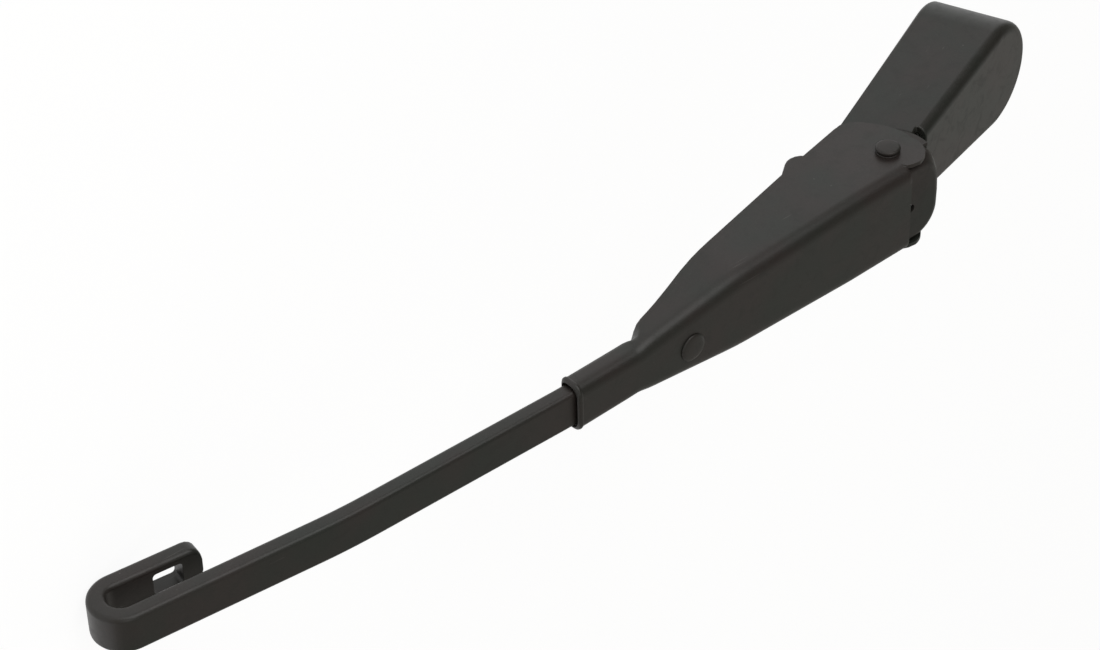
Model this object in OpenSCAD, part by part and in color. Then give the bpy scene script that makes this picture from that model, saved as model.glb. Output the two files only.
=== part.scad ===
// Wiper arm: a splined head, a sprung hinge, a pressed channel arm and a strip with a J hook.
// Frame: origin at the mouth of the spindle bore, +Z along the spindle and away from the glass,
// +X towards the hook, Y along the hinge pin. The arm lies at its droop stop.

/* [Hinge] */
// Distance from the spindle to the hinge pin
pin_reach = 51.5; // [48:0.5:60]
// Height of the hinge pin above the lower rim of the head
pin_height = 15; // [14.8:0.1:18]
// Angle that the free arm hangs below the head
droop = 22.5; // [15:0.5:25]
// Diameter of the hinge pin
pin_d = 4.5; // [4:0.1:4.8]
// Diameter of each upset head of the hinge pin
pin_head_d = 5.6; // [5.2:0.1:7]
// Height of each upset head of the hinge pin
pin_head_h = 1.5; // [0.8:0.1:2]
// Wall of the hinge bush
bush_wall = 0.75; // [0.6:0.05:0.8]
// Largest lift of the arm from its droop stop
lift_max = 85; // [60:1:88]

/* [Head] */
// Half width of the head's round end
end_r = 13.3; // [12.5:0.1:15]
// Reach of the round end behind the spindle
end_reach = 14.1; // [12.5:0.1:16]
// Half width of the head at the hinge
hub_half = 8.1; // [7.6:0.1:8.3]
// Height of the head's roof over the spindle, from the lower rim
roof_h = 20.8; // [20:0.1:24]
// Height of the head's roof at the hinge pin, from the lower rim
roof_pin_h = 17.5; // [17.3:0.1:18.5]
// Rounding of the roof's edges
roof_edge_r = 2.6; // [1.5:0.1:3.5]
// Wall of the head casting
head_wall = 1.8; // [1.4:0.1:2.2]
// Depth of the cheeks below the hinge pin
cheek_drop = 20.3; // [17:0.1:21]
// Reach of the cheeks past the hinge pin
cheek_reach = 21; // [17:0.5:24]
// Radius of the boss round the spindle
boss_r = 8.6; // [7.5:0.1:9.5]
// Height of the boss round the spindle
boss_h = 13; // [11:0.5:14]
// Outer diameter of the splined bush
bush_d = 12; // [11:0.1:13]
// Diameter of the spindle bore
spindle_d = 8.4; // [8:0.1:10]
// Thickness of the ribs inside the head
rib_t = 1.6; // [1.2:0.1:2.5]
// Thickness of the retaining clip
clip_t = 0.8; // [0.5:0.1:1]
// Width of the retaining clip
clip_w = 10; // [8:0.5:11]

/* [Channel] */
// Sheet thickness of the channel
sheet_t = 1.2; // [1:0.1:1.4]
// Half width of the channel at the hinge
channel_half = 11.5; // [11.2:0.1:12.5]
// Half width of the channel at its shoulder
shoulder_half = 10.1; // [9:0.1:11]
// Half width of the collar
collar_half = 5.85; // [5.8:0.05:6.2]
// Distance from the pin to the shoulder, where the strong taper starts
shoulder_at = 53; // [50:0.5:56]
// Distance from the pin to the start of the collar
collar_at = 82; // [80:0.5:85]
// Distance from the pin to the end of the collar
collar_end = 98.9; // [95:0.1:104]
// Height of the web above the pin at the hinge
web_at_pin = 8.25; // [8.1:0.05:8.6]
// Slope of the web against the strip
web_slope = 2.66; // [2:0.05:3]
// Rounding of the channel's two bends
bend_r = 2.4; // [1.8:0.1:3]
// Radius of the ears round the pin
ear_r = 8.5; // [8:0.1:9.2]
// Depth of the ears below the pin
ear_drop = 14.1; // [13:0.1:15]
// Height of the side walls' open edge at the shoulder, from the pin
edge_at_shoulder = -2.2; // [-4:0.1:-1]
// Thickness of the lips that fold under the strip
lip_t = 0.6; // [0.5:0.1:1.2]

/* [Hood] */
// Reach of the hinge hood behind the pin
hood_back = 11.4; // [10.5:0.1:11.8]
// Reach of the hinge hood ahead of the pin
hood_front = 4; // [2:0.5:5]
// Rounding of the hood's edges
hood_r = 3.4; // [3:0.1:4.4]
// Wall of the hood
hood_wall = 0.85; // [0.7:0.05:0.9]
// Height of the hood's lower edge above the pin
hood_skirt = 0.8; // [0.5:0.1:1.5]
// Angle at which the hood's side flanges end below the pin
flange_end = 256; // [240:1:262]

/* [Strip] */
// Width of the strip, across the wiping plane
strip_w = 9; // [8.6:0.1:9.4]
// Thickness of the strip
strip_t = 4; // [3.6:0.1:4.2]
// Rounding of the strip's long edges
strip_edge_r = 0.8; // [0.4:0.1:1]
// Distance from the pin to the strip's inner end
strip_start = 56; // [54:0.5:57]
// Distance from the pin to the strip's gentle bend
bend_at = 156; // [135:1:170]
// Angle of the gentle bend
bend_angle = 4.8; // [2:0.1:7]
// Distance from the pin to the outside of the hook
hook_reach = 209.7; // [190:0.1:240]
// Clear gap inside the hook
hook_gap = 6.2; // [5:0.1:8]
// Length of the hook's returned leg
leg_len = 18.6; // [16:0.5:24]
// Length of the slot in the returned leg
slot_len = 7.2; // [6:0.1:10]
// Width of the slot in the returned leg
slot_w = 5.5; // [4.4:0.1:5.8]
// Distance from the leg's end to the slot
slot_inset = 3.8; // [3:0.1:5]
// Rivet's distance from the pin
rivet_at = 67; // [65:0.1:70]
// Diameter of the rivet's head
rivet_head_d = 7.1; // [6:0.1:8]
// Diameter of the rivet's shank
rivet_d = 4; // [3.5:0.1:4.5]

/* [Spring] */
// Wire of the tension spring
wire_d = 1.6; // [1.3:0.1:1.8]
// Outer diameter of the spring's coil
coil_d = 8.2; // [7.5:0.1:8.6]
// Number of turns in the coil
coil_turns = 15; // [10:1:16]
// Diameter of the pin that anchors the spring
anchor_d = 4; // [3.5:0.1:4.2]
// Anchor pin's place ahead of the hinge pin
anchor_x = 9.5; // [9:0.1:10.5]
// Anchor pin's place below the hinge pin
anchor_z = -10; // [-11:0.1:-9.5]
// Hole for the spring's hook in the strip
eye_d = 2.6; // [2.4:0.1:3]
// Distance from the strip's inner end to the hook's hole
eye_inset = 3.6; // [3.2:0.1:4]

/* [Hidden] */
$fn = 64;
hull_fn = 32;
paint = [0.15, 0.15, 0.145];
steel = [0.55, 0.55, 0.54];
brass = [0.70, 0.58, 0.32];
nylon = [0.82, 0.80, 0.74];
eps = 0.02;
run_fit = 0.03;
seat_gap = 0.05;
layer_gap = 0.1;
move_gap = 0.4;
bush_od = pin_d + 2 * run_fit + 2 * bush_wall;
hub_r = bush_od / 2 + 1.45;
channel_in = channel_half - sheet_t;
hood_half = channel_in - layer_gap;
hood_top = web_at_pin - sheet_t - layer_gap;
sweep_r = norm([hood_back - hood_r, hood_top - hood_r]) + hood_r + move_gap;
hook_r = hook_gap / 2 + strip_t / 2;

// Points of an arc in a plane
function arc(c, r, a0, a1, n) = [for (i = [0:n]) let (a = a0 + (a1 - a0) * i / n) c + r * [cos(a), sin(a)]];
// Turns a point of a plane
function turned(p, a) = [p[0] * cos(a) - p[1] * sin(a), p[0] * sin(a) + p[1] * cos(a)];
// Mean of a profile over a short length, which rounds its corners
function eased(table, u, reach) = (lookup(u - reach, table) + lookup(u - reach / 2, table) + lookup(u, table)
    + lookup(u + reach / 2, table) + lookup(u + reach, table)) / 5;
// Outline of a rectangle with round corners
function round_box(w, h, r, n) = concat(arc([w / 2 - r, h / 2 - r], r, 0, 90, n), arc([r - w / 2, h / 2 - r], r, 90, 180, n),
    arc([r - w / 2, r - h / 2], r, 180, 270, n), arc([w / 2 - r, r - h / 2], r, 270, 360, n));

// Solid through a list of rings that all have as many points
module loft(rings) {
  count = len(rings[0]);
  last = len(rings) - 1;
  polyhedron(
    points = [for (ring = rings) for (p = ring) p],
    faces = concat(
      [[for (i = [0:count - 1]) i]],
      [for (k = [0:last - 1]) for (i = [0:count - 1])
        let (a = k * count + i, b = k * count + (i + 1) % count) [a, a + count, b + count, b]],
      [[for (i = [count - 1:-1:0]) last * count + i]]),
    convexity = 8);
}

// Extrudes an X-Z outline across the arm, centred on Y
module across(width) {
  rotate([90, 0, 0]) translate([0, 0, -width / 2]) linear_extrude(width, convexity = 6) children();
}

// Round bar or hole along Y, centred
module rod(d, width) {
  rotate([90, 0, 0]) translate([0, 0, -width / 2]) cylinder(d = d, h = width);
}

// Places a piece on the hinge pin, in line with the head
module at_pin() {
  translate([pin_reach, 0, pin_height]) children();
}

// Places a piece of the arm, which hangs at its droop
module on_arm() {
  at_pin() rotate([0, droop, 0]) children();
}

// Places a piece of the arm along its sloping web
module on_web() {
  on_arm() rotate([0, -web_slope, 0]) children();
}

// Height of the web's outer face along the arm
function web_z(u) = web_at_pin + u * tan(web_slope);
// Half width of the channel along the arm
half_table = [[-20, channel_half], [18, channel_half - 0.05], [shoulder_at, shoulder_half], [collar_at, collar_half],
              [collar_end + 20, collar_half]];
function half_at(u) = eased(half_table, u, 4);

// Section of the channel: a sheet bent round two corners
function channel_ring(u) =
  let (half = half_at(u), top = web_z(u), low = -ear_drop - 8, n = 5,
       outer = concat([[-half, low]], arc([bend_r - half, top - bend_r], bend_r, 180, 90, n),
         arc([half - bend_r, top - bend_r], bend_r, 90, 0, n), [[half, low]]),
       inner = concat([[half - sheet_t, low]], arc([half - bend_r, top - bend_r], bend_r - sheet_t, 0, 90, n),
         arc([bend_r - half, top - bend_r], bend_r - sheet_t, 90, 180, n), [[sheet_t - half, low]]))
  [for (p = concat(outer, inner)) [u, -p[0], p[1]]];

// Side outline of the channel: ears, side walls and the web's cut end
module channel_side() {
  notch_z = web_at_pin - 0.9;
  union() {
    difference() {
      hull() {
        circle(r = ear_r, $fn = hull_fn * 2);
        translate([1.8, 6.6 - ear_drop]) circle(r = 6.6, $fn = hull_fn * 2);
      }
      rotate(-165) translate([-20, -6.6 - 20]) square([40, 20]);
    }
    polygon(concat(
      [[0.9, web_at_pin + 20], [0.9, notch_z]],
      [[-2.5, notch_z - 1.4], [2.6, 0.2 - ear_drop]],
      [[shoulder_at, edge_at_shoulder], [shoulder_at + 5, edge_at_shoulder + 1],
       [shoulder_at + 10.3, edge_at_shoulder + 3.1], [shoulder_at + 17.5, edge_at_shoulder + 5.2],
       [shoulder_at + 23, edge_at_shoulder + 7.3], [collar_at - 2, edge_at_shoulder + 8.8],
       [collar_at + 1, edge_at_shoulder + 9.3], [collar_at + 4, edge_at_shoulder + 9.9],
       [collar_at + 4, web_at_pin + 20]]));
  }
}

// Collar: the channel's narrow end, folded right round the strip
function collar_ring(u, inset) =
  let (top = web_z(u), low = top - sheet_t - lip_t - strip_t - 2 * seat_gap, w = 2 * (half_at(u) - inset), h = top - low - 2 * inset)
  [for (p = round_box(w, h, bend_r - 0.6 - inset, 4)) [u, p[0], p[1] + (top + low) / 2]];

module collar() {
  difference() {
    loft([collar_ring(collar_at - 3, 0), collar_ring(collar_at, 0), collar_ring(collar_at + 6, 0),
          collar_ring(collar_end - 0.8, 0), collar_ring(collar_end - 0.35, 0.15), collar_ring(collar_end, 0.55)]);
    loft([for (u = [collar_at - 10, collar_end + 10])
      [for (p = round_box(strip_w + 2 * seat_gap, strip_t + 2 * seat_gap, strip_edge_r, 3))
        [u, p[0], p[1] + web_z(u) - sheet_t - seat_gap - strip_t / 2]]]);
    translate([collar_at - 10, -0.6, web_z(collar_at) - 3 * strip_t]) cube([40, 1.2, 2 * strip_t]);
  }
}

module channel() {
  color(paint) on_arm() difference() {
    union() {
      intersection() {
        loft([for (u = [-14, 14, 22, 30, 38, 46, 49, 52, 55, 58, 64, 70, 76, 79, 82, 85, 88]) channel_ring(u)]);
        across(4 * channel_half) channel_side();
      }
      collar();
    }
    rod(pin_d + 2 * run_fit, 4 * channel_half);
    rotate([0, -web_slope, 0]) translate([rivet_at, 0, 0]) cylinder(d = rivet_d + 2 * run_fit, h = 20);
  }
}

// Hood nested under the channel's web, which closes the hinge behind the pin
module hood_form(r, back, half, top, low, front) {
  hull() {
    for (side = [-1, 1]) {
      translate([r - back, side * (half - r), top - r]) sphere(r, $fn = hull_fn);
      translate([r - back, side * (half - r), low]) cylinder(r = r, h = 0.1, $fn = hull_fn);
      translate([front - 0.1, side * (half - r), top - r]) rotate([0, 90, 0]) cylinder(r = r, h = 0.1, $fn = hull_fn);
    }
    translate([0, -half, low]) cube([front, 2 * half, 0.1]);
  }
}

module hinge_hood() {
  flange_r = hood_back + 0.3;
  color(paint) on_web() difference() {
    union() {
      difference() {
        hood_form(hood_r, hood_back, hood_half, hood_top, hood_skirt, hood_front);
        hood_form(hood_r - hood_wall, hood_back - hood_wall, hood_half - hood_wall, hood_top - hood_wall, hood_skirt - 1,
          hood_front + 1);
        translate([-20, -20, hood_skirt - 20]) cube([40, 40, 20]);
      }
      for (side = [-1, 1]) translate([0, side * (hood_half - hood_wall / 2), 0]) across(hood_wall)
        polygon(concat([[0, 0], [0, hood_skirt + 0.5], [0.4 - flange_r * 0.7, hood_skirt + 0.5]],
          arc([0, 0], flange_r, 190, flange_end, 12)));
    }
    rod(2 * hub_r + 2 * move_gap, 4 * channel_half);
    translate([-0.2, 0, 0]) cylinder(d = 1.7, h = 20);
  }
}

// Path of the strip's middle in the arm's X-Z plane: each leg is a length, a turn and a number of steps
strip_legs = [
  [(collar_end - strip_start) / cos(web_slope), 0, 1],
  [3, -web_slope, 3],
  [bend_at - collar_end - 3 - 7, 0, 1],
  [14, -bend_angle, 6],
  [(hook_reach - hook_r - strip_t / 2 + hook_r * sin(bend_angle) - bend_at - 7) / cos(bend_angle), 0, 1],
  [hook_r * PI, -181, 22],
  [leg_len, 0, 1]];
function walk(p, a, legs, k) = k >= len(legs) ? [] :
  let (n = legs[k][2], step = legs[k][0] / n, turn = legs[k][1] / n,
       pts = [for (i = [1:n]) let (b = a + turn * (i - 0.5)) [step * cos(b), step * sin(b), a + turn * i]],
       sums = [for (i = [0:n - 1]) [p[0] + total(pts, i, 0), p[1] + total(pts, i, 1), pts[i][2]]])
  concat(sums, walk(sums[n - 1], a + legs[k][1], legs, k + 1));
function total(list, i, part) = i < 0 ? 0 : list[i][part] + total(list, i - 1, part);
strip_begin = [strip_start, web_z(strip_start) - sheet_t - seat_gap - strip_t / 2];
strip_path = concat([[strip_begin[0], strip_begin[1], web_slope]], walk(strip_begin, web_slope, strip_legs, 0));
strip_tip = strip_path[len(strip_path) - 1];

module hook_strip() {
  leg_round = 2.2;
  color(paint) on_arm() difference() {
    loft([for (s = strip_path) [for (p = round_box(strip_w, strip_t, strip_edge_r, 3))
      [s[0] - p[1] * sin(s[2]), p[0], s[1] + p[1] * cos(s[2])]]]);
    rotate([0, -web_slope, 0]) translate([rivet_at, 0, 0]) cylinder(d = rivet_d + 2 * run_fit, h = 30, center = true);
    rotate([0, -web_slope, 0]) translate([strip_start + eye_inset, 0, 0]) cylinder(d = eye_d, h = 30, center = true);
    translate([strip_tip[0], 0, strip_tip[1]]) rotate([0, -strip_tip[2], 0]) {
      for (side = [-1, 1]) mirror([0, side < 0 ? 1 : 0, 0]) translate([0, strip_w / 2, 0]) difference() {
        translate([-leg_round, -leg_round, -strip_t]) cube([2 * leg_round, 2 * leg_round, 2 * strip_t]);
        translate([-leg_round, -leg_round, -2 * strip_t]) cylinder(r = leg_round, h = 4 * strip_t);
      }
      translate([-slot_inset - slot_len / 2, 0, -strip_t]) linear_extrude(2 * strip_t)
        polygon(round_box(slot_len, slot_w, 0.9, 3));
    }
  }
}

module strip_rivet() {
  stack = sheet_t + seat_gap + strip_t;
  top = web_at_pin * cos(web_slope);
  color(paint) on_web() translate([rivet_at, 0, top]) {
    translate([0, 0, -stack - 0.02]) cylinder(d = rivet_d, h = stack + 0.3);
    rotate_extrude() polygon(concat([[0, 0.02], [rivet_head_d / 2, 0.02], [rivet_head_d / 2, 0.4]],
      arc([rivet_head_d / 2 - 0.4, 0.4], 0.4, 0, 75, 3), [[1.2, 1.05], [0, 1.1]]));
    translate([0, 0, -stack - 0.02]) rotate_extrude() polygon([[0, 0.01], [rivet_d / 2 + 1, 0], [rivet_d / 2 + 0.8, -0.9],
      [rivet_d / 2, -1.3], [0, -1.3]]);
  }
}

module hinge_pin() {
  half = channel_half + 0.02;
  round_r = 0.45;
  head = concat([[pin_d / 2 - 0.5, half]], [[pin_head_d / 2 - 0.12, half], [pin_head_d / 2, half + 0.3]],
    arc([pin_head_d / 2 - round_r, half + pin_head_h - round_r], round_r, 0, 80, 4), [[0, half + pin_head_h]], [[0, half]]);
  color(paint) on_arm() rotate([90, 0, 0]) {
    translate([0, 0, -half]) cylinder(d = pin_d, h = 2 * half);
    rotate_extrude() polygon(head);
    mirror([0, 0, 1]) rotate_extrude() polygon(head);
  }
}

// Washer on the hinge pin, between the head and an ear
module washer(side) {
  inner = hub_half + seat_gap;
  color(nylon) at_pin() mirror([0, side > 0 ? 0 : 1, 0]) rotate([-90, 0, 0]) translate([0, 0, inner]) difference() {
    cylinder(r = hub_r, h = channel_in - inner - seat_gap);
    translate([0, 0, -1]) cylinder(d = pin_d + 2 * run_fit, h = 6);
  }
}

module left_washer() {
  washer(-1);
}

module right_washer() {
  washer(1);
}

module hinge_bush() {
  color(brass) at_pin() difference() {
    rod(bush_od, 2 * hub_half);
    rod(pin_d + 2 * run_fit, 4 * hub_half);
  }
}

// Height of the roof's outer face over the head
function roof_z(x) = roof_h + (roof_pin_h - roof_h) * x / pin_reach;
// Outline of the head from above: a round end that tapers to the hinge
function head_outline(inset) = let (lean = asin((end_r - hub_half) / pin_reach))
  concat([[pin_reach, inset - hub_half], [pin_reach, hub_half - inset]],
    [for (p = arc([0, 0], end_r - inset, 90 - lean, 270 + lean, 36))
      [p[0] < 0 ? p[0] * (end_reach - inset) / (end_r - inset) : p[0], p[1]]]);

// Outer or inner form of the head's box
module head_form(inset) {
  r = max(0.6, roof_edge_r - inset);
  rim = inset > 0 ? [[inset, -1]] : [[0.7, 0], [0.2, 0.35], [0, 0.9]];
  loft(concat([for (k = rim) [for (p = head_outline(k[0])) [p[0], p[1], k[1]]]],
    [for (t = [0:15:90]) [for (p = head_outline(inset + r * (1 - cos(t))))
      [p[0], p[1], roof_z(p[0]) - inset - r * (1 - sin(t))]]]));
}

// Side outline of the cheeks that carry the hinge and the spring
module cheek_side() {
  lip = 0.3 - pin_height;
  polygon(concat([[-16, lip], [-16, -4]], arc([0, 0], hub_r - 0.8, 200, 50, 8),
    [[9, 3]], arc([cheek_reach - 4, -1], 4, 60, 0, 4),
    arc([cheek_reach - 4, 6.2 - cheek_drop], 4, 0, -75, 5), arc([8.8, 4 - cheek_drop], 4, 285, 195, 5),
    [[3.4, lip - 0.4], [-12, lip]]));
}

module mounting_head() {
  color(paint) difference() {
    union() {
      difference() {
        union() {
          difference() {
            head_form(0);
            head_form(head_wall);
          }
          for (side = [-1, 1]) at_pin() translate([0, side * (hub_half - head_wall / 2), 0])
            across(head_wall) cheek_side();
          for (a = [60, 120, 180, 240, 300]) rotate(a) translate([boss_r - 1, -rib_t / 2, 2])
            cube([end_r - boss_r, rib_t, boss_h - 4]);
          intersection() {
            head_form(head_wall / 2);
            union() {
              translate([boss_r - 1, -rib_t / 2, 2]) cube([pin_reach - sweep_r - boss_r, rib_t, boss_h - 4]);
              translate([pin_reach - sweep_r - 3.4, -20, 0]) cube([head_wall, 40, 40]);
            }
          }
        }
        at_pin() {
          across(60) polygon(concat([[0, 0]], arc([0, 0], sweep_r, 120, 153 + lift_max + 4, 20)));
          translate([0, 0, hood_skirt]) across(60) translate([-14, 0]) square([14, 30]);
        }
        on_web() translate([-20, -30, web_at_pin * cos(web_slope) - sheet_t - 0.3]) cube([80, 60, 40]);
        for (side = [-1, 1]) at_pin() translate([0, side * (hub_half + 2.02), 0]) rod(2 * hub_r + 1, 4);
      }
      at_pin() rod(2 * hub_r, 2 * hub_half);
      cylinder(r = boss_r, h = boss_h);
      at_pin() translate([anchor_x, 0, anchor_z]) difference() {
        rod(anchor_d + 4, 2 * hub_half);
        rod(anchor_d + 5, 2 * (hub_half - head_wall - 2.2));
      }
    }
    at_pin() rod(bush_od + 2 * eps, 40);
    at_pin() translate([anchor_x, 0, anchor_z]) rod(anchor_d + 2 * eps, 40);
    translate([0, 0, -1]) cylinder(d = bush_d + 2 * eps, h = boss_h + 2);
  }
}

module spline_bush() {
  color(steel) difference() {
    cylinder(d = bush_d, h = boss_h);
    translate([0, 0, -1]) cylinder(d = spindle_d, h = boss_h + 2);
  }
}

// Spring leaf on the boss that grips the spindle's groove
module retaining_clip() {
  lug = 4;
  color(steel) translate([0, 0, boss_h + 0.02]) difference() {
    union() {
      translate([-clip_w / 2 - 2, -clip_w / 2, 0]) cube([clip_w + 10, clip_w, clip_t]);
      translate([clip_w / 2 + 6, -clip_w / 2, 0]) cube([clip_t, clip_w, lug]);
    }
    translate([0, 0, -1]) cylinder(d = spindle_d - 1.4, h = 3);
    translate([-clip_w, -1, -1]) cube([clip_w, 2, 3]);
  }
}

module anchor_pin() {
  color(steel) at_pin() translate([anchor_x, 0, anchor_z]) rod(anchor_d, 2 * hub_half);
}

// Spring: a loop on the anchor pin, a shank, the coil, a shank and a hook in the strip's hole
anchor_on_arm = turned([anchor_x, anchor_z], droop);
eye_on_arm = turned([strip_start + eye_inset, (web_at_pin - sheet_t - seat_gap) * cos(web_slope) - strip_t], web_slope);
spring_run = eye_on_arm - anchor_on_arm + turned([0, -1.6 - wire_d / 2], web_slope);
spring_len = norm(spring_run);
spring_angle = atan2(spring_run[1], spring_run[0]);
coil_pitch = wire_d + 0.12;
coil_len = coil_turns * coil_pitch;
coil_at = spring_len - coil_len - 7;
coil_mean_r = (coil_d - wire_d) / 2;
loop_r = anchor_d / 2 + wire_d / 2 + seat_gap;
spring_points = concat(
  [for (p = arc([0, 0], loop_r, 40, 300, 16)) [p[0], 0, p[1]]],
  [[loop_r * 1.6, 0, -loop_r * 0.35], [loop_r * 2.2, 0, 0], [coil_at - 2.2, 0, 0], [coil_at - 1, 0, coil_mean_r * 0.4]],
  [for (i = [0:coil_turns * 12]) [coil_at + coil_len * i / (coil_turns * 12), coil_mean_r * sin(i * 30), coil_mean_r * cos(i * 30)]],
  [[coil_at + coil_len + 1, 0, coil_mean_r * 0.4], [coil_at + coil_len + 2.2, 0, 0], [spring_len - 1.8, 0, 0]],
  [for (p = arc([spring_len - 1.6, 1.6], 1.6, 290, 350, 4)) [p[0], 0, p[1]]],
  [[spring_len + 0.05, 0, 1.6 + wire_d / 2 + strip_t - 1]]);

// Round wire along a list of points
function unit(v) = v / norm(v);
function wire_ring(points, k) =
  let (last = len(points) - 1, t = unit(points[min(k + 1, last)] - points[max(k - 1, 0)]),
       side = unit(cross(t, abs(t[1]) > 0.9 ? [1, 0, 0] : [0, 1, 0])), up = cross(side, t))
  [for (i = [0:5]) points[k] + wire_d / 2 * (cos(i * 60) * side + sin(i * 60) * up)];

module tension_spring() {
  color(steel) on_arm() translate([anchor_on_arm[0], 0, anchor_on_arm[1]]) rotate([0, -spring_angle, 0])
    loft([for (k = [0:len(spring_points) - 1]) wire_ring(spring_points, k)]);
}

mounting_head();
spline_bush();
retaining_clip();
hinge_bush();
anchor_pin();
left_washer();
right_washer();
channel();
hinge_hood();
hook_strip();
strip_rivet();
hinge_pin();
tension_spring();
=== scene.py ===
"""Windscreen wiper arm with a sprung hinge and a J hook.

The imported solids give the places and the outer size. This script models the pressed channel, the hood,
the hook strip, the rivet and the pin again in finer form, rounds the cast head and the hidden fittings,
gives every piece its finish, and sets up the studio and the camera.
The scene is in metres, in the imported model's own frame: +Z along the spindle, +X to the hook.
A class whose sizes are in millimetres says so, and its points become metres as they are drawn.
"""
import logging
import math
from collections.abc import Callable
from dataclasses import dataclass
from dataclasses import field
from enum import Enum

import bmesh
import bpy
from mathutils import Euler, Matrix
from mathutils import Vector


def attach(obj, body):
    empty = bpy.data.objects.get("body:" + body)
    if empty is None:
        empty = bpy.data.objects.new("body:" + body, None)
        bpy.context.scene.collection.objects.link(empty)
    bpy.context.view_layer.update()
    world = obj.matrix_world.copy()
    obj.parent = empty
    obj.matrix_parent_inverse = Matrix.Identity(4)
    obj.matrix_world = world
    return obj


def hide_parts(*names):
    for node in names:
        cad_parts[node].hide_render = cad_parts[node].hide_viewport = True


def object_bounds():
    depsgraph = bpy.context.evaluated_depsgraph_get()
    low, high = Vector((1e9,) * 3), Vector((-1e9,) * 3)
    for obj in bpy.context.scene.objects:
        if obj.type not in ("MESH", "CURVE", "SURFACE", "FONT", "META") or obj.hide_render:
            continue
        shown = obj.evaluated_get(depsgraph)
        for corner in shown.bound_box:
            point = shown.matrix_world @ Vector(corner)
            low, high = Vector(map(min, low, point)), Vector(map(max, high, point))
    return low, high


log = logging.getLogger("wiper_arm")
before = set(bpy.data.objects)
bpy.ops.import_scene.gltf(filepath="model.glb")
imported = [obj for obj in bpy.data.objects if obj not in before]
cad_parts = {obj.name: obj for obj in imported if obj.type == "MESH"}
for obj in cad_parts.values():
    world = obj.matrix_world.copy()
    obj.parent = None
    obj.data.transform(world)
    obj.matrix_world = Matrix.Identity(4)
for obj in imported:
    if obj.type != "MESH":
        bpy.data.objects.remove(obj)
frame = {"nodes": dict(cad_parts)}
CAD_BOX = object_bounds()
MM = 0.001
HINGE = Vector((51.5 * MM, 0.0, 15.0 * MM))
MERGE_REACH = 0.004 * MM
FEWEST_FACES = 12
FLAT_WEIGHT = 70
SEED_SIZE = 0.1 * MM
FLAT_ANGLE = 0.6
SOLID_EDGE = 32.0
SHEET_EDGE = 50.0
SHEET_CREASE = 40.0
SOLID_CREASE = 38.0


class Body(Enum):
    """The two bodies that the hinge joins."""

    HEAD = "head"
    ARM = "arm"


class Lay(Enum):
    """The way the grain or the drag marks run on a surface."""

    ALONG_STRIP = (0.0, 22.5, 0.0)
    ALONG_HEAD = (0.0, 3.4, 0.0)
    ROUND_PIN = (90.0, 0.0, 0.0)


def shader_group(name: str, inputs: dict[str, float], outputs: tuple[str, ...]) -> bpy.types.NodeTree:
    """Makes an empty shader node group that reads a vector and some values, and puts out values.

    Args:
        name: the group's name.
        inputs: the first value of each input after the vector.
        outputs: the outputs' names.

    Returns:
        The group, with its input and output nodes in place.
    """
    tree = bpy.data.node_groups.new(name, "ShaderNodeTree")
    tree.interface.new_socket("Vector", in_out="INPUT", socket_type="NodeSocketVector")
    for label, value in inputs.items():
        socket = tree.interface.new_socket(label, in_out="INPUT", socket_type="NodeSocketFloat")
        socket.default_value = value
    for label in outputs:
        tree.interface.new_socket(label, in_out="OUTPUT", socket_type="NodeSocketFloat")
    tree.nodes.new("NodeGroupInput").name = "in"
    tree.nodes.new("NodeGroupOutput").name = "out"
    return tree


@dataclass(frozen=True)
class Noise:
    """A noise texture's own values, and the limits between which its mask rises from 0 to 1."""

    scale: float
    detail: float
    roughness: float
    limits: tuple[float, float] = (0.0, 1.0)
    distortion: float = 0.0


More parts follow.
